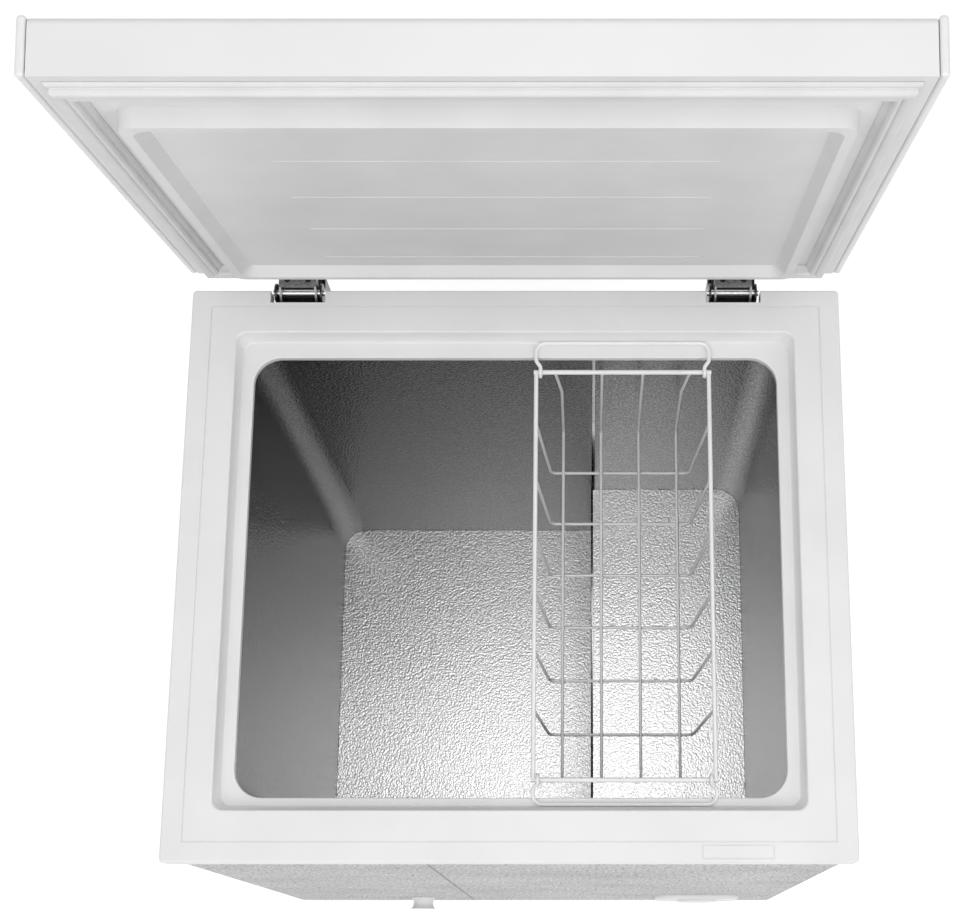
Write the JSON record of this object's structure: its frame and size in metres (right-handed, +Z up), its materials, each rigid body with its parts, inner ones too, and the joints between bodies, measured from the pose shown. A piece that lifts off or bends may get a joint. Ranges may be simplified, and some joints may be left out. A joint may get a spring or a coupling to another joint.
{
  "type": "chest freezer",
  "caption": "Small chest freezer with a concrete-look cabinet, embossed metal liner with a raised step, sliding wire basket and a lid that swings on sprung hinges.",
  "frame": {"origin": "on the floor, under the middle of the cabinet's rim", "axes": "+X to the viewer's right, +Y to the rear, +Z up"},
  "size_m": [0.6276, 0.6117, 1.3483],
  "materials": {
    "white_plastic": "moulded white plastic with a slight sheen",
    "lid_plastic": "vacuum-formed pale sheet",
    "print_sheet": "sheet steel with a matt concrete-look film",
    "painted_sheet": "painted sheet steel",
    "stucco": "bright stucco-embossed aluminium sheet",
    "stucco_wall": "darker stucco-embossed aluminium sheet",
    "foam": "rigid insulating foam",
    "galvanised": "galvanised steel",
    "black_enamel": "black enamelled steel",
    "black_plastic": "black plastic",
    "rubber": "black rubber",
    "gasket": "soft white vinyl",
    "hinge_steel": "dark plated steel",
    "bright_steel": "bright zinc-plated steel",
    "coated_wire": "white vinyl-coated steel wire",
    "copper": "bare copper tube"
  },
  "bodies": {
    "cabinet": {"top_frame": "white_plastic", "front_panel": "print_sheet", "left_panel": "painted_sheet", "right_panel": "painted_sheet", "back_panel": "painted_sheet", "base_plate": "galvanised", "feet": "black_plastic", "liner_wrap_left": "stucco_wall", "liner_wrap_right": "stucco_wall", "liner_floor": "stucco", "liner_step": "stucco", "cabinet_foam": "foam", "evaporator_coil": "copper", "condenser_coil": "copper", "bay_shield": "galvanised", "compressor_lower_shell": "black_enamel", "compressor_upper_shell": "black_enamel", "compressor_plate": "black_enamel", "compressor_grommets": "rubber", "compressor_studs": "bright_steel", "relay_cover": "black_plastic", "suction_line": "copper", "discharge_line": "copper", "filter_drier": "copper", "capillary_tube": "copper", "compressor_cover": "painted_sheet", "cover_screws": "bright_steel", "cord_gland": "black_plastic", "drain_tube": "white_plastic", "thermostat_bezel": "white_plastic", "thermostat_body": "black_plastic", "hinge_base_left": "black_enamel", "hinge_base_right": "black_enamel", "hinge_pin_left": "bright_steel", "hinge_pin_right": "bright_steel", "hinge_spring_left": "bright_steel", "hinge_spring_right": "bright_steel", "hinge_screws": "bright_steel"},
    "lid": {"lid_panel": "painted_sheet", "lid_cap_left": "white_plastic", "lid_cap_right": "white_plastic", "lid_foam": "foam", "lid_liner": "lid_plastic", "lid_gasket": "gasket", "hinge_lever_left": "hinge_steel", "hinge_lever_right": "hinge_steel", "lid_screws": "bright_steel"},
    "basket": {"basket_frame": "coated_wire", "basket_cross_wires": "coated_wire", "basket_long_wires": "coated_wire"},
    "basket_handle_front": {"basket_handle_front": "coated_wire"},
    "basket_handle_rear": {"basket_handle_rear": "coated_wire"},
    "hinge_plunger_left": {"hinge_plunger_left": "black_plastic"},
    "hinge_plunger_right": {"hinge_plunger_right": "black_plastic"},
    "thermostat_knob": {"thermostat_knob": "white_plastic"},
    "drain_plug": {"drain_plug": "white_plastic"},
    "floor_drain_cap": {"floor_drain_cap": "white_plastic"}
  },
  "joints": [
    {"name": "lid_hinge", "type": "hinge", "parent": "cabinet", "child": "lid", "pos_m": [0, 0.2725, 0.793], "axis": [1, 0, 0], "range_deg": [0, 81.74], "stiffness_Nm_per_rad": 7},
    {"name": "hinge_plunger_left_slide", "type": "slide", "parent": "cabinet", "child": "hinge_plunger_left", "axis": [0, 0, 1], "range_m": [-0.0046, 0], "deforming": ["hinge_spring_left"]},
    {"name": "hinge_plunger_right_slide", "type": "slide", "parent": "cabinet", "child": "hinge_plunger_right", "axis": [0, 0, 1], "range_m": [-0.0046, 0], "deforming": ["hinge_spring_right"]},
    {"name": "basket_slide", "type": "slide", "parent": "cabinet", "child": "basket", "axis": [1, 0, 0], "range_m": [-0.242, 0.035]},
    {"name": "basket_handle_front_swing", "type": "hinge", "parent": "basket", "child": "basket_handle_front", "pos_m": [0.1035, -0.1968, 0.779], "axis": [-1, 0, 0], "range_deg": [0, 114]},
    {"name": "basket_handle_rear_swing", "type": "hinge", "parent": "basket", "child": "basket_handle_rear", "pos_m": [0.1035, 0.1959, 0.779], "axis": [1, 0, 0], "range_deg": [0, 114]},
    {"name": "thermostat_turn", "type": "hinge", "parent": "cabinet", "child": "thermostat_knob", "pos_m": [0.206, -0.28, 0.105], "axis": [0, 1, 0], "range_deg": [0, 270]},
    {"name": "drain_plug_pull", "type": "slide", "parent": "cabinet", "child": "drain_plug", "axis": [0, -1, 0], "range_m": [0, 0.022]},
    {"name": "floor_drain_cap_lift", "type": "slide", "parent": "cabinet", "child": "floor_drain_cap", "axis": [0, 0, 1], "range_m": [0, 0.015]}
  ],
  "couplings": [
    {"joint": "hinge_plunger_left_slide", "follows": "lid_hinge", "m_per_rad": -0.0031543},
    {"joint": "hinge_plunger_right_slide", "follows": "lid_hinge", "m_per_rad": -0.0031543}
  ]
}
